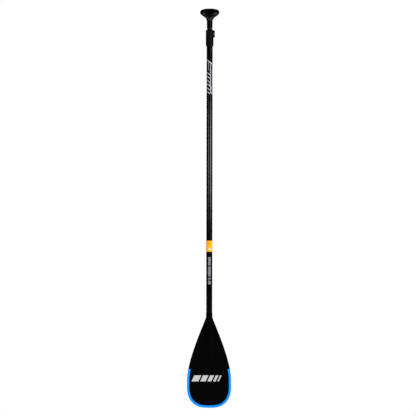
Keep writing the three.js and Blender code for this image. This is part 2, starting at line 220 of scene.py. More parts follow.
def block(name, x, y, z):
    """A plain box between pairs of limits, for cutting."""
    points = [(x[i], y[j], z[k]) for i in (0, 1) for j in (0, 1) for k in (0, 1)]
    faces = [(0, 1, 3, 2), (4, 6, 7, 5), (0, 4, 5, 1), (2, 3, 7, 6), (0, 2, 6, 4), (1, 5, 7, 3)]
    return make_object(name, points, faces)


def sideways(name, outline, x):
    """An outline of (y, z) points, carried along X from one limit to the other."""
    count = len(outline)
    points = [(side, p.x, p.y) for side in x for p in outline]
    faces = [(i, (i + 1) % count, (i + 1) % count + count, i + count) for i in range(count)]
    return make_object(name, points, faces + [tuple(range(count)), tuple(range(count, 2 * count))])


def rounded_block(name, x, y, z, radius):
    """A box with its four edges along X rounded."""
    corners = [(y[0], z[0]), (y[1], z[0]), (y[1], z[1]), (y[0], z[1])]
    return sideways(name, rounded_profile(corners, radius), x)


def extruded(name, outline, bottom, top):
    """An outline in the XY plane, raised from one height to another."""
    count = len(outline)
    points = [(x, y, z) for z in (bottom, top) for x, y in outline]
    faces = [(i, (i + 1) % count, (i + 1) % count + count, i + count) for i in range(count)]
    return make_object(name, points, faces + [tuple(range(count)), tuple(range(count, 2 * count))])


def moved(obj, turn=None, by=(0, 0, 0)):
    """Turn a mesh about X, then move it, in millimetres."""
    if turn is not None:
        for v in obj.data.vertices:
            y, z = v.co.y, v.co.z
            v.co.y = y * math.cos(turn) - z * math.sin(turn)
            v.co.z = y * math.sin(turn) + z * math.cos(turn)
    for v in obj.data.vertices:
        v.co += Vector(by) * MM
    return obj


def cross_rod(name, radius, front, back, centre, segments=48, rounding=0.2):
    """A round bar along Y through (x, z)."""
    bar = rod(name, radius, -back, -front, rounding, segments)
    return moved(bar, math.pi / 2, (centre[0], 0, centre[1]))


def settle(obj):
    """Put an object's modifiers into its mesh."""
    graph = bpy.context.evaluated_depsgraph_get()
    mesh = bpy.data.meshes.new_from_object(obj.evaluated_get(graph))
    obj.modifiers.clear()
    obj.data = mesh
    return obj


def combine(obj, operation, *others):
    """Join the others to a solid, or cut them out of it, and remove them."""
    for other in others:
        step = obj.modifiers.new("combine", "BOOLEAN")
        step.operation = operation
        step.solver = "MANIFOLD"
        step.object = other
        settle(obj)
        bpy.data.objects.remove(other)
    return obj


def join(obj, *others):
    return combine(obj, "UNION", *others)


def cut(obj, *others):
    return combine(obj, "DIFFERENCE", *others)


def softened(obj, width, angle=50, segments=2):
    """Round the edges of a finished solid."""
    clean = obj.modifiers.new("clean", "WELD")
    clean.merge_threshold = 0.005 * MM
    step = obj.modifiers.new("edges", "BEVEL")
    step.width = width * MM
    step.segments = segments
    step.limit_method = "ANGLE"
    step.angle_limit = math.radians(angle)
    step.use_clamp_overlap = True
    return settle(obj)


# ---- Materials ----


def new_material(name, **constants):
    """A material with its Principled shader's plain values set on the shader's own sockets."""
    material = bpy.data.materials.new(name)
    material.use_nodes = True
    tree = material.node_tree
    shader = tree.nodes["Principled BSDF"]
    for socket, value in constants.items():
        shader.inputs[socket.replace("_", " ")].default_value = value
    return material, tree, shader


def add(tree, kind, inputs=None, **settings):
    """A node with its settings and its inputs, each a value or another node's socket."""
    node = tree.nodes.new("ShaderNode" + kind)
    for name, value in settings.items():
        setattr(node, name, value)
    for key, value in (inputs or {}).items():
        if isinstance(value, bpy.types.NodeSocket):
            tree.links.new(value, node.inputs[key])
        else:
            node.inputs[key].default_value = value
    return node


def math_node(tree, operation, a, b=0.0):
    return add(tree, "Math", {0: a, 1: b}, operation=operation).outputs[0]


def place(tree, scale=(1, 1, 1)):
    """Object coordinates in metres, stretched."""
    coordinates = add(tree, "TexCoord").outputs["Object"]
    return add(tree, "Mapping", {"Vector": coordinates, "Scale": scale}).outputs["Vector"]


def noise(tree, vector, scale, detail=3.0, roughness=0.5):
    """Noise with a scale in cycles per metre."""
    inputs = {"Vector": vector, "Scale": scale, "Detail": detail, "Roughness": roughness}
    return add(tree, "TexNoise", inputs).outputs[0]


def between(tree, factor, low, high, start=0.0, end=1.0):
    inputs = {0: factor, 1: start, 2: end, 3: low, 4: high}
    return add(tree, "MapRange", inputs, clamp=True).outputs[0]


def blend_colours(tree, factor, first, second):
    """From one colour to another, each a plain colour or another node's socket."""
    node = add(tree, "Mix", {0: factor}, data_type="RGBA")
    for index, value in ((6, first), (7, second)):
        if isinstance(value, bpy.types.NodeSocket):
            tree.links.new(value, node.inputs[index])
        else:
            node.inputs[index].default_value = (*value, 1)
    return node.outputs[2]


def bump(tree, shader, height, strength, distance_mm):
    inputs = {"Height": height, "Strength": strength, "Distance": distance_mm * MM}
    tree.links.new(add(tree, "Bump", inputs).outputs[0], shader.inputs["Normal"])


def round_tube(tree):
    """Distance round the shaft and height up it, both in metres, for patterns that wrap it."""
    coordinates = add(tree, "SeparateXYZ", {0: add(tree, "TexCoord").outputs["Object"]})
    angle = math_node(tree, "ARCTAN2", coordinates.outputs[1], coordinates.outputs[0])
    return math_node(tree, "MULTIPLY", angle, SHAFT_RADIUS * MM), coordinates.outputs[2]


def twill(tree, across, along, pitch_mm):
    """A woven twill: 0 and 1 where the two sets of fibre bundles lie on top, soft between them."""
    step = 1 / (pitch_mm * MM)
    across = math_node(tree, "MULTIPLY", across, step)
    along = math_node(tree, "MULTIPLY", along, step)
    bundles_in_repeat = 4
    column, row = math_node(tree, "FLOOR", across), math_node(tree, "FLOOR", along)
    diagonal = math_node(tree, "ADD", column, row)
    repeat = math_node(tree, "FRACT", math_node(tree, "MULTIPLY", diagonal, 1 / bundles_in_repeat))
    over = between(tree, repeat, 0.0, 1.0, 0.4, 0.5)

    def crown(distance):
        wave = math_node(tree, "SINE", math_node(tree, "MULTIPLY", distance, math.pi))
        return math_node(tree, "ABSOLUTE", wave)

    return over, math_node(tree, "MAXIMUM", crown(across), crown(along))


def shaft_gloss():
    """Gloss black fibre tube: a faint weave, fine lengthwise scratches and a few smudges."""
    material, tree, shader = new_material("shaft_gloss", IOR=1.5)
    across, along = round_tube(tree)
    over, crowns = twill(tree, across, along, 2.0)
    scratches = noise(tree, place(tree, (1, 1, 0.03)), 900, 4)
    smudges = noise(tree, place(tree), 14, 3)
    colour = blend_colours(tree, over, (0.0004, 0.0004, 0.0005), (0.0012, 0.0012, 0.0014))
    tree.links.new(colour, shader.inputs["Base Color"])
    rough = math_node(tree, "ADD", between(tree, smudges, 0.13, 0.19, 0.3, 0.7),
                      between(tree, scratches, 0.0, 0.07, 0.55, 0.8))
    tree.links.new(rough, shader.inputs["Roughness"])
    bump(tree, shader, math_node(tree, "MULTIPLY", crowns, over), 0.05, 0.02)
    return material


def moulded(name, dark, light, grain_per_m, rough, depth_mm, wear, shine):
    """Moulded plastic: an all-over grain, soft cloudy variation and paler rubbed edges."""
    material, tree, shader = new_material(name, IOR=1.48, Specular_IOR_Level=shine)
    grain = noise(tree, place(tree), grain_per_m, 2, 0.6)
    clouds = noise(tree, place(tree), 35, 3)
    colour = blend_colours(tree, between(tree, clouds, 0, 1, 0.35, 0.65), dark, light)
    edges = between(tree, add(tree, "NewGeometry").outputs["Pointiness"], 0, 0.6, 0.53, 0.6)
    rubbed = math_node(tree, "MULTIPLY", edges, between(tree, grain, 0, 1, 0.4, 0.6))
    colour = blend_colours(tree, rubbed, colour, wear)
    tree.links.new(colour, shader.inputs["Base Color"])
    tree.links.new(between(tree, grain, rough[0], rough[1], 0.3, 0.7), shader.inputs["Roughness"])
    bump(tree, shader, grain, 0.35, depth_mm)
    return material


def blade_black():
    """Matte black composite skin: a flat twill under a dull resin coat, with faint scuffs."""
    material, tree, shader = new_material("blade_black", IOR=1.4, Specular_IOR_Level=0.1)
    coordinates = add(tree, "SeparateXYZ", {0: add(tree, "TexCoord").outputs["Object"]})
    over, crowns = twill(tree, coordinates.outputs[0], coordinates.outputs[2], 3.0)
    scuffs = noise(tree, place(tree, (1, 1, 0.2)), 160, 5, 0.7)
    colour = blend_colours(tree, over, (0.0002, 0.0002, 0.0003), (0.0007, 0.0007, 0.0008))
    tree.links.new(colour, shader.inputs["Base Color"])
    rough = math_node(tree, "SUBTRACT", between(tree, over, 0.72, 0.64),
                      between(tree, scuffs, 0, 0.08, 0.55, 0.75))
    tree.links.new(rough, shader.inputs["Roughness"])
    bump(tree, shader, math_node(tree, "MULTIPLY", crowns, over), 0.12, 0.05)
    return material


def steel():
    """Turned stainless steel with fine rings and a few darker smudges."""
    material, tree, shader = new_material("steel", Metallic=1.0, Anisotropic=0.3)
    rings = noise(tree, place(tree, (0.15, 0.15, 1)), 9000, 2)
    smudges = noise(tree, place(tree), 220, 3)
    colour = blend_colours(tree, smudges, (0.36, 0.33, 0.28), (0.58, 0.55, 0.50))
    tree.links.new(colour, shader.inputs["Base Color"])
    tree.links.new(between(tree, rings, 0.25, 0.45, 0.3, 0.7), shader.inputs["Roughness"])
    bump(tree, shader, rings, 0.15, 0.01)
    return material


def band_yellow():
    """Amber vinyl wrapped round the tube: an almost even colour and a faint orange peel."""
    material, tree, shader = new_material("band_yellow", IOR=1.45, Specular_IOR_Level=0.05)
    peel = noise(tree, place(tree), 700, 2)
    clouds = noise(tree, place(tree), 45, 2)
    cloudy = between(tree, clouds, 0, 1, 0.3, 0.7)
    colour = blend_colours(tree, cloudy, (0.95, 0.325, 0.001), (0.98, 0.355, 0.002))
    tree.links.new(colour, shader.inputs["Base Color"])
    tree.links.new(between(tree, peel, 0.38, 0.5, 0.3, 0.7), shader.inputs["Roughness"])
    bump(tree, shader, peel, 0.1, 0.03)
    return material


def ink(name, colour, metal):
    """Screen-printed ink with fine speckle, so that the black below shows through it a little."""
    material, tree, shader = new_material(name, Metallic=metal)
    speckle = noise(tree, place(tree), 2600, 3, 0.7)
    darker = tuple(0.55 * c for c in colour)
    mixed = blend_colours(tree, between(tree, speckle, 0, 1, 0.35, 0.55), darker, colour)
    tree.links.new(mixed, shader.inputs["Base Color"])
    tree.links.new(between(tree, speckle, 0.55, 0.4, 0.3, 0.7), shader.inputs["Roughness"])
    bump(tree, shader, speckle, 0.1, 0.01)
    return material


def foam(name, dark, light):
    """Closed-cell foam."""
    material, tree, shader = new_material(name)
    cells = add(tree, "TexVoronoi", {"Vector": place(tree), "Scale": 900.0}).outputs["Distance"]
    colour = blend_colours(tree, between(tree, cells, 0, 1, 0.1, 0.6), dark, light)
    tree.links.new(colour, shader.inputs["Base Color"])
    tree.links.new(between(tree, cells, 0.8, 0.95), shader.inputs["Roughness"])
    bump(tree, shader, cells, 0.5, 0.2)
    return material


BLACK_WEAR = (0.03, 0.03, 0.032)
materials = {
    "grip_plastic": moulded("grip_plastic", (0.0005, 0.0005, 0.0006), (0.0012, 0.0012, 0.0014), 1500,
                            (0.14, 0.19), 0.01, BLACK_WEAR, 0.35),
    "shaft_gloss": shaft_gloss(),
    "clamp_plastic": moulded("clamp_plastic", (0.0006, 0.0006, 0.0006), (0.0014, 0.0014, 0.0014), 1800,
                             (0.34, 0.42), 0.02, (0.012, 0.012, 0.013), 0.2),
    "hardware_steel": steel(),
    "band_yellow": band_yellow(),
    "blade_black": blade_black(),
    "edge_blue": moulded("edge_blue", (0.0003, 0.205, 0.74), (0.0006, 0.235, 0.84), 1300,
                         (0.5, 0.62), 0.06, (0.01, 0.30, 0.86), 0.06),
    "foam": foam("foam", (0.50, 0.48, 0.44), (0.74, 0.72, 0.67)),
}
# Near-black foam for the blade core: painted shade that stands in for the shade in the gap between the
# skins and the edge guard.
painted_shade_foam = foam("painted_shade_foam", (0.002, 0.002, 0.002), (0.005, 0.005, 0.005))
silver_ink = ink("silver_ink", (0.55, 0.56, 0.62), 0.3)
white_ink = ink("white_ink", (0.50, 0.50, 0.56), 0.0)
bright_ink = ink("bright_ink", (0.80, 0.80, 0.82), 0.0)
blade_ink = ink("blade_ink", (0.50, 0.49, 0.49), 0.0)


def finished(obj, body, slot, *replaced, material=None):
    """Give a piece its material (the slot's own unless one is given), the body it rides on and the nodes
    that it stands for.
    """
    obj.data.materials.clear()
    obj.data.materials.append(material or materials[slot])
    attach(obj, body)
    if replaced:
        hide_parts(*replaced)
    return obj


# ---- Shaft tubes and what is round them ----


def groove_strip(bottom, top, clearance=0.0):
    half = GROOVE_HALF_WIDTH + clearance
    return block("groove_strip", (-half, half), (GROOVE_FLOOR - clearance, 20), (bottom, top))


def button_hole():
    return cross_rod("button_hole", BUTTON_RADIUS + GAP, 5, 20, (0, BUTTON_Z), rounding=SHARP)


def slit(bottom, top):
    return block("slit", (5, 30), (-SLIT_HALF_WIDTH, SLIT_HALF_WIDTH), (bottom, top))


def upper_shaft_tube():
    piece = tube("upper_shaft_tube", SHAFT_RADIUS, SHAFT_BORE, upper_low.z, upper_high.z)
    cut(piece, slit(SLIT_BOTTOM, upper_high.z + 1))
    return finished(trued(piece), "upper_shaft", "shaft_gloss", "upper_tube")


def lower_shaft_tube():
    piece = tube("lower_shaft_tube", SHAFT_RADIUS, SHAFT_BORE, lower_low.z, lower_high.z)
    return finished(trued(cut(piece, button_hole())), "lower_section", "shaft_gloss", "lower_tube")


def ferrule_tube():
    piece = tube("ferrule_tube", INNER_RADIUS, INNER_BORE, ferrule_low.z, ferrule_high.z)
    return finished(trued(cut(piece, button_hole())), "upper_shaft", "shaft_gloss", "joint_ferrule")


def sliding_tube():
    """The extension tube, with the groove pressed into its back."""
    bottom, top = extension_low.z, extension_high.z
    wall = INNER_RADIUS - GROOVE_FLOOR
    bore = cut(rod("bore", INNER_BORE, bottom - 1, top + 1), groove_strip(bottom - 2, top + 2, wall))
    piece = cut(rod("sliding_tube", INNER_RADIUS, bottom, top), groove_strip(bottom - 1, top + 1), bore)
    return finished(trued(piece), "handle", "shaft_gloss", "extension_tube")


def yellow_band():
    bore, radius = SHAFT_RADIUS + 0.02, band_high.x - 0.1
    piece = tube("yellow_band", radius, bore, band_low.z, band_high.z, 0.15)
    return finished(trued(piece), "lower_section", "band_yellow", "coloured_band")


def socket_sleeve():
    bore = SHAFT_RADIUS + 0.05
    bottom, top = BLADE_TOP + SEAM, sleeve_high.z
    corners = [(bore, bottom), (NECK_RADIUS, bottom), (NECK_RADIUS - 0.1, bottom + 4), (14.8, top - 1.5),
               (14.4, top), (bore, top)]
    piece = lathe("socket_sleeve", corners, 0.3)
    return finished(trued(piece), "lower_section", "blade_black", "neck_sleeve")


# ---- Grip ----


def bezier(points, steps, skip_first=False):
    """Points along a cubic curve of (x, y) pairs."""
    a, b, c, d = (Vector(p) for p in points)
    path = []
    for k in range(1 if skip_first else 0, steps + 1):
        f = k / steps
        g = 1 - f
        path.append(a * g**3 + b * 3 * g * g * f + c * 3 * g * f * f + d * f**3)
    return path


def interpolate(table, z):
    """A smooth value between (height, value) pairs."""
    for (low, first), (high, second) in zip(table, table[1:]):
        if z <= high:
            f = max(0.0, (z - low) / (high - low))
            return first + (second - first) * f * f * (3 - 2 * f)
    return table[-1][1]


def palm_grip():
    """A wide, low palm grip that sweeps down to a round neck, with its spigot in the extension tube."""
    end, top = extension_high.z + GAP, grip_high.z
    rim_top, waist, widest, half_width = end + 5, end + 34, top - 18, grip_high.x
    neck_radius, waist_radius, taper_steps = 13, 13.5, 6
    outline = [Vector((12.3, end)), Vector((12.7, end + 0.5)), Vector((neck_radius, rim_top))]
    for k in range(1, taper_steps + 1):
        f = k / taper_steps
        outline.append(Vector((mix(neck_radius, waist_radius, f), mix(rim_top, waist, f))))
    flare = [(waist_radius, waist), (14.3, waist + 22), (half_width, waist + 22), (half_width, widest)]
    shoulder = [(half_width, widest), (half_width, widest + 9.6), (36.5, top - 3.6), (26, top - 2.4)]
    crown = [(26, top - 2.4), (21, top - 1.4), (17, top), (12, top)]
    for curve, steps in ((flare, 30), (shoulder, 16), (crown, 8)):
        outline += bezier(curve, steps, True)
    depths = [(end, 12.4), (rim_top, neck_radius), (waist, waist_radius), (waist + 18, 15.5),
              (widest - 4, 18), (widest + 9, 15), (top, 8)]
    segments = 80
    rings = [ring(p.x, interpolate(depths, p.y), p.y, segments) for p in outline]
    rings.append(ring(7, 4.5, top, segments))
    spigot = rod("spigot", INNER_BORE - GAP, grip_low.z, rim_top)
    cut(spigot, groove_strip(grip_low.z - 1, end, 1.6))
    piece = join(loft("palm_grip_body", rings), spigot)
    return finished(smoothed(piece, 50), "handle", "grip_plastic", "palm_grip")


# ---- Clamp ----


def arc(radius, start, end, steps, centre=(0, 0)):
    """Points on an arc, with its angles in degrees."""
    angles = [math.radians(start + (end - start) * k / steps) for k in range(steps + 1)]
    return [(centre[0] + radius * math.cos(a), centre[1] + radius * math.sin(a)) for a in angles]


def front_pad():
    """The raised pad low on the collar's front, with a round lower end."""
    bottom, left, right = collar_low.z + 2.2, -6.9, 9.7
    middle, radius = (left + right) / 2, (right - left) / 2
    outline = [(right, bottom + 33.8), (left, bottom + 33.8)]
    outline += arc(radius, 180, 360, 24, (middle, bottom + radius))
    column = extruded("pad", outline, 8, 22)
    moved(column, math.pi / 2)
    shell = rod("shell", COLLAR_RADIUS + 0.65, collar_low.z + 1, collar_high.z - 30)
    return combine(shell, "INTERSECT", column)


def collar():
    """Split sleeve with a lip over the tube's end, two ears, a key and a raised front pad."""
    bottom, top, radius = collar_low.z, collar_high.z, COLLAR_RADIUS
    lip_floor = upper_high.z + GAP
    inside, near_axis = 4, 0.5
    corners = [(inside, bottom), (radius - 3.2, bottom), (radius - 0.5, bottom + 5), (radius, bottom + 12),
               (radius, top - 1.6), (radius - 1.6, top), (inside, top)]
    body = lathe("collar", corners, 0.5)
    ears = rounded_block("ears", (EAR["inner"], EAR["outer"]), (-EAR["face"], EAR["face"]),
                         (EAR["bottom"], EAR["top"]), 1)
    join(body, ears, front_pad())
    fit, below, above = SHAFT_RADIUS + 0.1, bottom - 1, top + 1
    steps = [(near_axis, below), (fit, below), (fit, lip_floor), (SHAFT_BORE, lip_floor),
             (SHAFT_BORE, above), (near_axis, above)]
    bore = lathe("bore", steps, SHARP)
    cut(bore, block("key", (-1.7, 1.7), (GROOVE_FLOOR + GAP, 20), (lip_floor - 1, top + 2)))
    cut(body, bore)
    eye_room = rod("eye_room", EYE_RADIUS + 1.4, EAR["bottom"] - 2, above, SHARP)
    moved(eye_room, by=(PIVOT.x, PIVOT.y, 0))
    spot = (PIVOT.x, PIVOT.z)
    cut(body, eye_room, cross_rod("bolt_hole", BOLT_RADIUS + GAP, -12, 12, spot, rounding=SHARP),
        cross_rod("spot_face", WASHER_RADIUS + GAP, EAR["face"], 20, spot, rounding=SHARP),
        slit(SLIT_BOTTOM, above))
    return finished(trued(softened(body, 0.3)), "upper_shaft", "clamp_plastic", "clamp_collar")


def lever():
    """Forked cam lever that wraps round the collar's front, with a finger ridge at its end."""
    bottom, top, start, end = lever_low.z, lever_high.z, -35, -133
    wrap = arc(LEVER_OUTER, start, end, 48) + arc(LEVER_INNER, end, start, 48)
    body = extruded("lever", wrap, bottom, top)
    ridge_angle, ridge_radius = math.radians(end), 20.4
    ridge = rod("ridge", 1.8, bottom, top, SHARP, 48)
    moved(ridge, by=(ridge_radius * math.cos(ridge_angle), ridge_radius * math.sin(ridge_angle), 0))
    eye = moved(rod("eye", EYE_RADIUS, bottom, top, SHARP, 64), by=(PIVOT.x, PIVOT.y + THROW_OFFSET, 0))
    join(body, ridge, eye)
    reach = BARREL_HALF_HEIGHT + GAP
    hole = rod("hole", JOURNAL_RADIUS + 0.1, bottom - 1, top + 1, SHARP, 48)
    fork = rod("fork", 7.5, PIVOT.z - reach, PIVOT.z + reach, SHARP)
    for cutter in (hole, fork):
        moved(cutter, by=(PIVOT.x, PIVOT.y, 0))
    cut(body, hole, fork)
    return finished(trued(softened(body, 0.5)), "lever", "clamp_plastic", "clamp_lever")


def barrel():
    """Cross barrel with a journal at each end and a threaded hole for the bolt."""
    low, high = box_mm("clamp_barrel")
    thin, thick, chamfer = JOURNAL_RADIUS, BARREL_RADIUS, 0.3
    foot, head = PIVOT.z - BARREL_HALF_HEIGHT, PIVOT.z + BARREL_HALF_HEIGHT
    radii = [(low.z, thin - chamfer), (low.z + chamfer, thin), (foot, thin), (foot, thick - chamfer),
             (foot + chamfer, thick), (head - chamfer, thick), (head, thick - chamfer), (head, thin),
             (high.z - chamfer, thin), (high.z, thin - chamfer)]
    piece = loft("barrel", [ring(r, r, z, 64, (PIVOT.x, PIVOT.y)) for z, r in radii])
    cut(piece, cross_rod("bolt_way", BOLT_RADIUS + 0.1, -20, 0, (PIVOT.x, PIVOT.z), rounding=SHARP))
    return finished(trued(piece), "upper_shaft", "hardware_steel", "clamp_barrel")


def clamp_screw():
    """Socket-headed bolt along Y, from the barrel through both ears."""
    spot = (PIVOT.x, PIVOT.z)
    low, high = box_mm("clamp_bolt")
    head = cross_rod("clamp_screw", BOLT_HEAD_RADIUS, high.y - 4, high.y, spot, 64, 0.4)
    shank = cross_rod("shank", BOLT_RADIUS, low.y, high.y - 3, spot)
    join(head, shank)
    cut(head, cross_rod("socket", 2, high.y - 2.2, high.y + 1, spot, 6, SHARP))
    return finished(trued(head), "upper_shaft", "hardware_steel", "clamp_bolt")


def flat_washer():
    spot = (PIVOT.x, PIVOT.z)
    low, high = box_mm("clamp_washer")
    piece = cross_rod("flat_washer", WASHER_RADIUS, low.y, high.y, spot, 64, 0.15)
    cut(piece, cross_rod("hole", BOLT_RADIUS + 0.2, low.y - 1, high.y + 1, spot, rounding=SHARP))
    return finished(trued(piece), "upper_shaft", "hardware_steel", "clamp_washer")


# ---- Joint ----


def push_button():
    """Domed button with a flange behind the ferrule's wall."""
    back, tip = button_low.y, button_high.y
    flange, dome_height = button_high.x, 1.8
    dome_foot = tip - dome_height
    shape = [(back, flange - 0.2), (back + 0.2, flange), (back + 0.8, flange), (back + 1, flange - 0.2),
             (back + 1, BUTTON_RADIUS), (dome_foot, BUTTON_RADIUS)]
    angles = (0.3, 0.6, 0.9, 1.2, 1.45)
    dome = [(dome_foot + dome_height * math.sin(a), BUTTON_RADIUS * math.cos(a)) for a in angles]
    rings = [ring(r, r, -y, 48) for y, r in reversed(shape + dome)]
    piece = moved(loft("push_button", rings), math.pi / 2, (0, 0, BUTTON_Z))
    return finished(smoothed(piece, 50), "snap_catch", "hardware_steel", "snap_button")


def leaf_spring():
    """A steel strip bent to a V inside the ferrule, with a mesh of its own."""
    low, high = box_mm("snap_spring")
    front, back, press, knee, strip = low.y, high.y, 3.5, -33, 0.6
    leaf = [(back, low.z), (back, knee), (1.8, high.z), (-1.8, high.z), (front, knee), (front, low.z),
            (front + strip, low.z), (front + strip, knee - 0.2), (-1.3, high.z - strip),
            (1.3, high.z - strip), (back - strip, knee - 0.2), (back - strip, low.z)]
    piece = sideways("leaf_spring", rounded_profile(leaf, 0.9), (low.x, high.x))
    finished(smoothed(piece), "upper_shaft", "hardware_steel", "snap_spring")
    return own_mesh(piece)


# ---- Blade ----


def smoothstep(value, reach):
    f = min(max(value / reach, 0), 1)
    return f * f * (3 - 2 * f)


def mix(a, b, f):
    return a + (b - a) * f


def crest(below):
    """Half the blade's thickness on its centre line, at a distance below its upper end."""
    return mix(NECK_RADIUS, PLATE, smoothstep(below, SPINE_LENGTH))


def spine_foot(below):
    """How far out from the centre line the spine meets the flat plate."""
    return mix(NECK_RADIUS, SPINE_HALF_WIDTH, smoothstep(below, SPREAD))


def half_thickness(x, below):
    """Half the blade's thickness: a round neck that spreads into a flat plate with a fading spine."""
    thin_edge, thin_length, round_power, faded_power = 0.6, 30, 0.5, 2
    edge = mix(thin_edge, PLATE, smoothstep(below, thin_length))
    power = mix(round_power, faded_power, smoothstep(below - ROUND_NECK, SPREAD - ROUND_NECK))
    across = min(abs(x) / spine_foot(below), 1)
    return edge + (crest(below) - edge) * (1 - across * across) ** power


def blade_point(x, t, h):
    """Where a point of the blade lies: x across, t behind its middle surface, h along it above the tip."""
    below = BLADE_LENGTH - h
    bent = min(max(below, 0), BEND)
    straight = below - bent
    turn = BLADE_LEAN * bent / BEND
    y = -BEND_RADIUS * (1 - math.cos(turn)) - straight * math.sin(turn)
    z = BLADE_TOP - BEND_RADIUS * math.sin(turn) - straight * math.cos(turn)
    return (x, y + t * math.cos(turn), z - t * math.sin(turn))


def blade_edge():
    """The right-hand edge from neck to tip: (point, tangent) pairs, half-width against height."""
    throat, widest, corner, straight_steps = (27, 390), (102, 124), (58, 10), 12
    path = []
    for k in range(straight_steps + 1):
        f = k / straight_steps
        path.append(Vector((mix(NECK_RADIUS, throat[0], f), mix(BLADE_LENGTH, throat[1], f))))
    path += bezier([throat, (75, 274), (102, 186), widest], 70, True)
    path += bezier([widest, (102, 90), (108, 37), corner], 50, True)
    path += bezier([corner, (45, 3), (33, 0), (0, 0)], 26, True)
    edge = []
    for i, p in enumerate(path):
        before, after = path[max(i - 1, 0)], path[min(i + 1, len(path) - 1)]
        edge.append((p, (after - before).normalized()))
    edge[-1] = (path[-1], Vector((-1, 0)))
    return edge


EDGE = blade_edge()
# How far up the blade from its tip the edge guard's ends are, from the top of the guard's box.
bend_foot = BLADE_TOP - BEND_RADIUS * math.sin(BLADE_LEAN)
GUARD_TOP = BLADE_LENGTH - BEND - (bend_foot - guard_high.z) / math.cos(BLADE_LEAN)


def inset_edge(distance):
    """The blade's edge moved inwards."""
    return [Vector((max(p.x + t.y * distance, 0), p.y - t.x * distance)) for p, t in EDGE]


def width_at(path, h):
    """A path's half-width at a height."""
    for a, b in zip(path, path[1:]):
        if b.y <= h <= a.y:
            return mix(b.x, a.x, (h - b.y) / (a.y - b.y))
    return path[0].x if h > path[0].y else path[-1].x


def skin_plan():
    """The skin seen square on: points with their inner and outer thickness, and the faces between them."""
    outline = [p for p, _ in EDGE]
    seam = inset_edge(GUARD_WIDTH + GAP)
    step_in = width_at(outline, GUARD_TOP) - width_at(seam, GUARD_TOP)
    inner_columns, round_edge = 22, 1.6
    points, faces, index = [], [], {}

    def vertex(x, h, outer, inner):
        key = (round(x, 3), round(h, 3))
        if key not in index:
            index[key] = len(points)
            points.append((x, h, outer, inner))
        return index[key]

    def strip(first, second):
        for i in range(len(first) - 1):
            corners = [first[i], first[i + 1], second[i + 1], second[i]]
            if len(set(corners)) > 2:
                faces.append(tuple(dict.fromkeys(corners)))

    def inner_places(half_width):
        return [half_width * (i / inner_columns) ** 1.35 for i in range(inner_columns + 1)]

    def row_places(half_width, below):
        """Columns that gather at the foot of the spine near the neck, where the surface bends most."""
        foot, inside = min(spine_foot(below), 0.85 * half_width), 14
        gathered = [foot * math.sin(math.pi / 2 * i / inside) for i in range(inside)]
        outside = inner_columns - inside
        gathered += [mix(foot, half_width, i / outside) for i in range(outside + 1)]
        ease = smoothstep(below - 90, 60)
        return [mix(x, even, ease) for x, even in zip(gathered, inner_places(half_width))]

    def full_row(h):
        """One row of points right across the blade, with its free edges rounded."""
        below = BLADE_LENGTH - h
        half = width_at(outline, h)
        main = max(half - step_in, 0.7 * half)
        lip = max(half - GUARD_GROOVE, 0.86 * half)
        roundness = min(round_edge, 0.5 * (half - lip))
        places = [(x, True) for x in row_places(main, below)]
        places += [(mix(main, lip, 0.5), True), (lip, True), (lip + 0.05, False)]
        places += [(half - roundness * (1 - math.sin(a)), False) for a in (0, 0.4, 0.8, 1.2, math.pi / 2)]
        right = []
        for x, over_core in places:
            into = max(0.0, (x - half + roundness) / roundness)
            outer = max(half_thickness(x, below) * math.sqrt(max(1 - into * into, 0)), 0.22)
            inner = max(half_thickness(x, below) - SKIN, SEAM) if over_core else SEAM
            right.append((x, h, outer, inner))
        left = [(-x, h, o, i) for x, h, o, i in reversed(right[1:])]
        return [vertex(*p) for p in left + right]

    bent_rows, straight_rows = 20, 34
    heights = [BLADE_LENGTH - BEND * k / bent_rows for k in range(bent_rows)]
    heights += [mix(BLADE_LENGTH - BEND, GUARD_TOP, k / straight_rows) for k in range(straight_rows + 1)]
    rows = [full_row(h) for h in heights]
    for first, second in zip(rows, rows[1:]):
        strip(first, second)

    # Beside the guard the surface is a fan on each side, from the centre line out to the seam.
    lower = [Vector((width_at(seam, GUARD_TOP), GUARD_TOP))] + [p for p in seam if p.y < GUARD_TOP - 0.5]
    fan_height, lift, seam_step = 70, 26, 0.25
    for side in (1, -1):
        before = None
        for p in lower:
            centre = p.y + lift * max(1 - p.y / fan_height, 0) ** 2
            row = []
            for outwards in inner_places(1.0):
                h = mix(centre, p.y, outwards)
                x = side * p.x * outwards
                flat = half_thickness(x, BLADE_LENGTH - h)
                drop = seam_step if outwards == 1.0 and p is not lower[0] else 0
                row.append(vertex(x, h, flat - drop, flat - SKIN))
            if before:
                strip(before, row)
            before = row
    return points, faces


def skin(name, side, node, plan):
    """One skin of the blade as a closed solid: its outer and inner surfaces and the walls between."""
    points, faces = plan
    outer = [blade_point(x, side * out, h) for x, h, out, _ in points]
    inner = [blade_point(x, side * into, h) for x, h, _, into in points]
    count = len(points)
    used = {}
    for face in faces:
        for a, b in zip(face, face[1:] + face[:1]):
            used[frozenset((a, b))] = None if frozenset((a, b)) in used else (a, b)
    walls = [(b, a, a + count, b + count) for a, b in filter(None, used.values())]
    back = [tuple(i + count for i in reversed(face)) for face in faces]
    piece = make_object(name, outer + inner, faces + back + walls)
    return finished(smoothed(piece, 30), "lower_section", "blade_black", node)


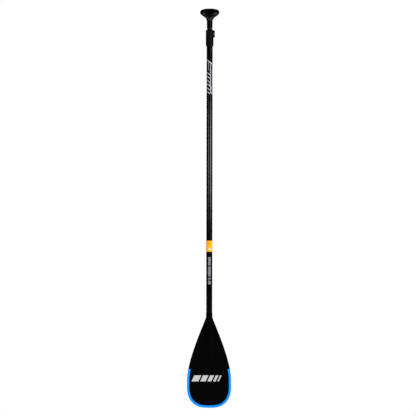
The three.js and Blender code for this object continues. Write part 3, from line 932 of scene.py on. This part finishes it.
def edge_guard():
    """The U strip round the blade's lower edge, with its ends cut square across."""
    half, groove = PLATE, PLATE - SKIN
    profile = [(GUARD_WIDTH, -half + 0.15), (GUARD_WIDTH - 0.2, -half), (2.0, -half), (0.9, -half + 0.25),
               (0.25, -half + 0.9), (0, -1), (0, 1), (0.25, half - 0.9), (0.9, half - 0.25), (2.0, half),
               (GUARD_WIDTH - 0.2, half), (GUARD_WIDTH, half - 0.15), (GUARD_WIDTH, groove),
               (GUARD_GROOVE, groove), (GUARD_GROOVE, -groove), (GUARD_WIDTH, -groove)]
    outline = [p for p, _ in EDGE]
    paths = [inset_edge(distance) for distance, _ in profile]
    top = [Vector((width_at(path, GUARD_TOP), GUARD_TOP)) for path in paths]
    first = next(i for i, p in enumerate(outline) if p.y < GUARD_TOP - 6)
    right = [top] + [[path[i] for path in paths] for i in range(first, len(outline))]
    sections = [[(p.x, p.y) for p in one] for one in right]
    sections += [[(-x, h) for x, h in one] for one in reversed(sections[:-1])]
    rings = [[blade_point(x, t, h) for (x, h), (_, t) in zip(one, profile)] for one in sections]
    piece = loft("edge_guard", rings)
    return finished(smoothed(piece, 40), "lower_section", "edge_blue", "blade_edge_guard")


# ---- Printed marks: plain bars and stripes only ----


def wrapped_bars(name, bars, radius, body, material, slot):
    """Printed bars on a round tube. Each is four (distance round, height) corners, with 0 at the front."""
    points, faces, lift, thickness, column_width = [], [], 0.03, 0.04, 0.9
    for corners in bars:
        start = len(points)
        a, b, c, d = (Vector(p) for p in corners)
        columns = math.ceil((b.x - a.x) / column_width)
        for layer in (0, 1):
            for k in range(columns + 1):
                f = k / columns
                for p in (a.lerp(b, f), d.lerp(c, f)):
                    angle = p.x / radius - math.pi / 2
                    r = radius + lift + layer * thickness
                    points.append((r * math.cos(angle), r * math.sin(angle), p.y))
        size = 2 * (columns + 1)
        for k in range(columns):
            i = start + 2 * k
            faces += [(i, i + 2, i + 3, i + 1), (i + size, i + size + 1, i + size + 3, i + size + 2),
                      (i, i + size, i + size + 2, i + 2), (i + 1, i + 3, i + size + 3, i + size + 1)]
        last = start + 2 * columns
        faces += [(start, start + 1, start + size + 1, start + size),
                  (last, last + size, last + size + 1, last + 1)]
    return finished(make_object(name, points, faces), body, slot, material=material)


def slanted(left, right, height, rise, thickness):
    """A bar from left to right that falls by rise, measured at its upper left corner."""
    upper = [(left, height), (right, height - rise)]
    return upper + [(x, z - thickness) for x, z in reversed(upper)]


def shaft_marks():
    """A tall silver panel high on the shaft: pinstripes with slanted ticks beside them."""
    top, bottom, reach, tick_pitch = 714, 549, 16, 17.5
    bars = [slanted(-reach, reach, top, 22, 5.5)]
    for left, right, drop, length in ((-6.1, -4.4, 9, 42), (2.8, 5.7, 16, 142), (13.2, 18, 22, 136)):
        bars.append(slanted(left, right, top - drop, 0, length))
    for k in range(6):
        bars.append(slanted(-reach, 1.5, top - 58 - tick_pitch * k, 12, 5))
    bars += [slanted(-2, reach, bottom + 55, 34, 5), slanted(2, reach, bottom + 17, 14, 5)]
    return wrapped_bars("shaft_marks", bars, SHAFT_RADIUS, "upper_shaft", silver_ink, "shaft_gloss")


def lower_marks():
    """A column of fine pale ticks in groups, below the band."""
    bars, height, pitch = [], -202.5, 4.2
    for count in (9, 11, 2, 4):
        for _ in range(count):
            bars.append(slanted(-5.2, 6.2, height, 0, 1.7))
            height -= pitch
        height -= 5.5
    return wrapped_bars("lower_marks", bars, SHAFT_RADIUS, "lower_section", white_ink, "shaft_gloss")


def band_mark():
    """Two short white bars near the band's lower edge."""
    height = band_low.z + 17.5
    bars = [slanted(-1.5, 4.5, height, 0, 3.6), slanted(-5, 8, height - 5.2, 0, 4)]
    return wrapped_bars("band_mark", bars, band_high.x - 0.1, "lower_section", bright_ink, "band_yellow")


def length_marks():
    """Plain tick marks up the front of the extension tube, every 20 mm and longer every 100 mm."""
    bars = []
    for k in range(18):
        reach = 6 if k % 5 == 4 else 3.5
        bars.append(slanted(-reach, reach, extension_high.z - 20 * (k + 1), 0, 1.2))
    return wrapped_bars("length_marks", bars, INNER_RADIUS, "handle", white_ink, "shaft_gloss")


def blade_marks():
    """Slanted pale stripes across the middle of the blade's front, thinner towards the right."""
    low, high, lean, gap, left = 121, 149, 13, 8, -81
    back, front = -PLATE - 0.02, -PLATE - 0.07
    points, faces = [], []
    for width in (32, 25, 18, 12, 7):
        right, i = left + width, len(points)
        for t in (back, front):
            corners = ((left, low), (right, low), (right + lean, high), (left + lean, high))
            points += [blade_point(x, t, h / math.cos(BLADE_LEAN)) for x, h in corners]
        faces += [(i, i + 1, i + 2, i + 3), (i + 7, i + 6, i + 5, i + 4)]
        faces += [(i + k, i + 4 + k, i + 4 + (k + 1) % 4, i + (k + 1) % 4) for k in range(4)]
        left = right + gap
    piece = make_object("blade_marks", points, faces)
    return finished(piece, "lower_section", "blade_black", material=blade_ink)


upper_shaft_tube()
lower_shaft_tube()
ferrule_tube()
sliding_tube()
yellow_band()
socket_sleeve()
palm_grip()
collar()
lever()
barrel()
clamp_screw()
flat_washer()
push_button()
leaf_spring()
both_skins = skin_plan()
skin("front_skin", -1, "blade_front_skin", both_skins)
skin("back_skin", 1, "blade_back_skin", both_skins)
edge_guard()
shaft_marks()
lower_marks()
band_mark()
length_marks()
blade_marks()

# Pieces hidden inside keep their CAD shapes. The core's foam is near-black, as painted shade, so that the
# narrow gap between the skins and the edge guard looks shaded there, not pale.
INNER_NODES = {
    "extension_end_plug": materials["clamp_plastic"],
    "ferrule_float_plug": materials["foam"],
    "lower_float_plug": materials["foam"],
    "neck_plug": materials["clamp_plastic"],
    "blade_core": painted_shade_foam,
}
for node, material in INNER_NODES.items():
    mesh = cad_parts[node].data
    mesh.materials.clear()
    mesh.materials.append(material)


# ---- Floor, light and camera ----


def stage():
    """A plain white floor. It lights nothing, and shows in the glossy surfaces only as a dim sheen."""
    size, height, sheen = 20, cad_box[0].z - 0.2, 0.25
    mesh = bpy.data.meshes.new("floor")
    corners = [(-size, -size, height), (size, -size, height), (size, size, height), (-size, size, height)]
    mesh.from_pydata(corners, [], [(0, 1, 2, 3)])
    floor = bpy.data.objects.new("floor", mesh)
    bpy.context.scene.collection.objects.link(floor)
    material, tree, shader = new_material("floor_white", Roughness=0.9)
    shader.inputs["Base Color"].default_value = (0, 0, 0, 1)
    shader.inputs["Specular IOR Level"].default_value = 0
    shader.inputs["Emission Color"].default_value = (1, 1, 1, 1)
    coordinates = add(tree, "TexCoord").outputs["Object"]
    away = add(tree, "VectorMath", {0: coordinates}, operation="LENGTH").outputs["Value"]
    near = between(tree, away, sheen, 0.0, 2.0, 5.0)
    eye = add(tree, "LightPath").outputs["Is Camera Ray"]
    tree.links.new(math_node(tree, "MAXIMUM", eye, near), shader.inputs["Emission Strength"])
    material.cycles.emission_sampling = "NONE"
    mesh.materials.append(material)
    floor.visible_diffuse = False


def room():
    """White all round to the eye. Matt surfaces get soft light, stronger from the front right."""
    world = bpy.data.worlds.new("room")
    bpy.context.scene.world = world
    world.use_nodes = True
    tree = world.node_tree
    direction = add(tree, "TexCoord").outputs["Generated"]
    key = Vector((0.80, -0.60, 0.0))
    facing = add(tree, "VectorMath", {0: direction, 1: key}, operation="DOT_PRODUCT").outputs["Value"]
    soft = between(tree, facing, 0.45, 1.75, -0.6, 1.0)
    rays = add(tree, "LightPath")
    lit = math_node(tree, "MULTIPLY", soft, math_node(tree, "SUBTRACT", 1.0, rays.outputs["Is Glossy Ray"]))
    eye = rays.outputs["Is Camera Ray"]
    strength = add(tree, "Mix", {0: eye, 2: lit, 3: 1.0}, data_type="FLOAT").outputs[0]
    background = tree.nodes["Background"]
    tree.links.new(strength, background.inputs["Strength"])
    world.cycles.sampling_method = "NONE"
    background.inputs["Color"].default_value = (1, 1, 1, 1)


def softbox(name, place_m, aim_m, size, power):
    """A rectangular light that the camera doesn't see."""
    light = bpy.data.lights.new(name, "AREA")
    light.shape = "RECTANGLE"
    light.size, light.size_y = size
    light.energy = power
    lamp = bpy.data.objects.new(name, light)
    bpy.context.scene.collection.objects.link(lamp)
    lamp.location = place_m
    lamp.rotation_euler = (Vector(aim_m) - Vector(place_m)).to_track_quat("-Z", "Y").to_euler()
    lamp.visible_camera = False


def round_about(azimuth, distance, height):
    """A point at an azimuth in degrees to the right of the front view."""
    a = math.radians(azimuth)
    return (distance * math.sin(a), -distance * math.cos(a), height)


def camera():
    """Square on to the front, far off, so that the view has almost no perspective."""
    data = bpy.data.cameras.new("camera")
    eye = bpy.data.objects.new("camera", data)
    bpy.context.scene.collection.objects.link(eye)
    distance, view_height, middle, side, roll = 60.0, 1.9219, 0.0257, -0.0064, 0.1
    data.sensor_width = 36
    data.lens = data.sensor_width * distance / view_height
    data.clip_end = 200
    eye.location = (side, -distance, middle)
    eye.rotation_euler = (math.pi / 2, math.radians(-roll), 0)
    bpy.context.scene.camera = eye


def lights():
    """Wide lights level with the upper shaft and the clamp, small ones for the grip, and one behind."""
    away, key_side, clamp_height, grip_height = 2.2, 43, 0.82, 0.93
    softbox("key", round_about(key_side, away, 0.28), (0, 0, 0.28), (1.4, 0.44), 12.0)
    softbox("fill", round_about(-36, away, 0.27), (0, 0, 0.27), (0.8, 0.4), 4.4)
    softbox("clamp_light", round_about(key_side, away, clamp_height), (0, 0, clamp_height), (0.5, 0.1), 0.5)
    for name, side, power in (("high_left", -41, 0.6), ("high_right", 41, 1.2)):
        softbox(name, round_about(side, away, 1.82), (0, 0, grip_height), (0.2, 0.2), power)
    for name, side in (("low_left", -47), ("low_right", 47)):
        softbox(name, round_about(side, 1.9, -0.56), (0, 0, 0.9), (0.4, 0.16), 0.35)
    softbox("back", round_about(180, 2.6, 0.1), (0, 0, 0.1), (0.5, 0.9), 3)


stage()
room()
lights()
camera()
bpy.context.scene.view_settings.view_transform = "Standard"
